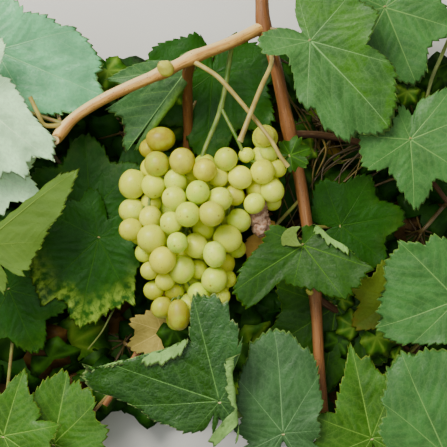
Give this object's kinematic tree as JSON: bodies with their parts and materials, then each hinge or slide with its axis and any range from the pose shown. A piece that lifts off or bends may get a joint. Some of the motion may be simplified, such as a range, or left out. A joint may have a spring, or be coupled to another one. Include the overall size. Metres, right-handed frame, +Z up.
{
  "type": "grapevine branch with fruit",
  "caption": "Cut length of grapevine lying on its back: tapering canes, broad toothed lobed leaves with leafy undergrowth behind them, and a hanging bunch of ripening white grapes.",
  "frame": {"origin": "middle of the branch's footprint, on the ground that it lies on", "axes": "+Z up, out of the side that the picture shows; +Y towards the cut end of the main cane, against the way the bunch hangs; +X to the right in the picture"},
  "size_m": [0.4519, 0.4283, 0.1319],
  "materials": {
    "cane_tan": "smooth ripened bark, tan, fine lengthwise grain",
    "cane_red": "smooth ripened bark, reddish brown, fine lengthwise grain",
    "stalk_straw": "drying leaf stalk, straw coloured",
    "berry": "translucent yellow-green skin under a pale bloom",
    "withered": "shrivelled pinkish brown skin",
    "leaf_sheen": "upper side of the blade with a bluish sheen",
    "leaf_mid": "upper side of the blade, mid green",
    "leaf_dark": "upper side of the blade, dark green in shade",
    "leaf_lime": "young or back-lit blade, yellowish green",
    "leaf_back": "pale underside of the blade",
    "leaf_dry": "dead dry blade, tan brown",
    "leaf_olive": "yellowing olive blade"
  },
  "bodies": {
    "root": {"cane_main": "cane_red", "cane_left": "cane_tan", "cane_back": "cane_red", "lateral_left": "cane_red", "lateral_right": "cane_red", "lateral_low": "cane_red", "bunch_main": "berry", "bunch_wing": "berry", "withered_berries": "withered", "petiole_long": "stalk_straw", "petiole_pale": "stalk_straw", "petiole_stub": "stalk_straw", "leaf_bottom_folded": "leaf_mid", "leaf_left_front": "leaf_sheen", "leaf_left_small": "leaf_lime", "leaf_left_underside": "leaf_back", "leaf_top_right": "leaf_sheen", "leaf_corner_right": "leaf_mid", "leaf_left_large": "leaf_dark", "leaf_right_folded": "leaf_mid", "leaf_top_left": "leaf_sheen", "leaf_behind_cane": "leaf_sheen", "leaf_far_right": "leaf_mid", "leaf_right_low": "leaf_mid", "leaf_bottom_round": "leaf_sheen", "leaf_bottom_light": "leaf_lime", "leaf_top_right_rear": "leaf_mid", "leaf_corner_left": "leaf_lime", "leaf_low_left": "leaf_lime", "leaf_shoot_scrap": "leaf_dark", "leaf_dry_bunch": "leaf_dry", "leaf_dry_low": "leaf_dry", "leaf_left_upper": "leaf_dark", "leaf_left_low": "leaf_dark", "leaf_right_dark": "leaf_dark", "leaf_cane_foot": "leaf_dark", "leaf_behind_bunch": "leaf_dark", "leaf_behind_stalks": "leaf_dark", "leaf_olive": "leaf_olive", "foliage_a1": "leaf_dark", "foliage_a2": "leaf_dark", "foliage_a3": "leaf_dark", "foliage_b1": "leaf_dark", "foliage_b2": "leaf_dark", "foliage_b3": "leaf_dark", "foliage_c1": "leaf_dark", "foliage_c2": "leaf_dark", "foliage_c3": "leaf_dark", "foliage_d1": "leaf_dark", "foliage_d2": "leaf_dark", "foliage_d3": "leaf_dark", "foliage_e1": "leaf_dark", "foliage_e2": "leaf_dark", "foliage_e3": "leaf_dark"}
  },
  "joints": []
}
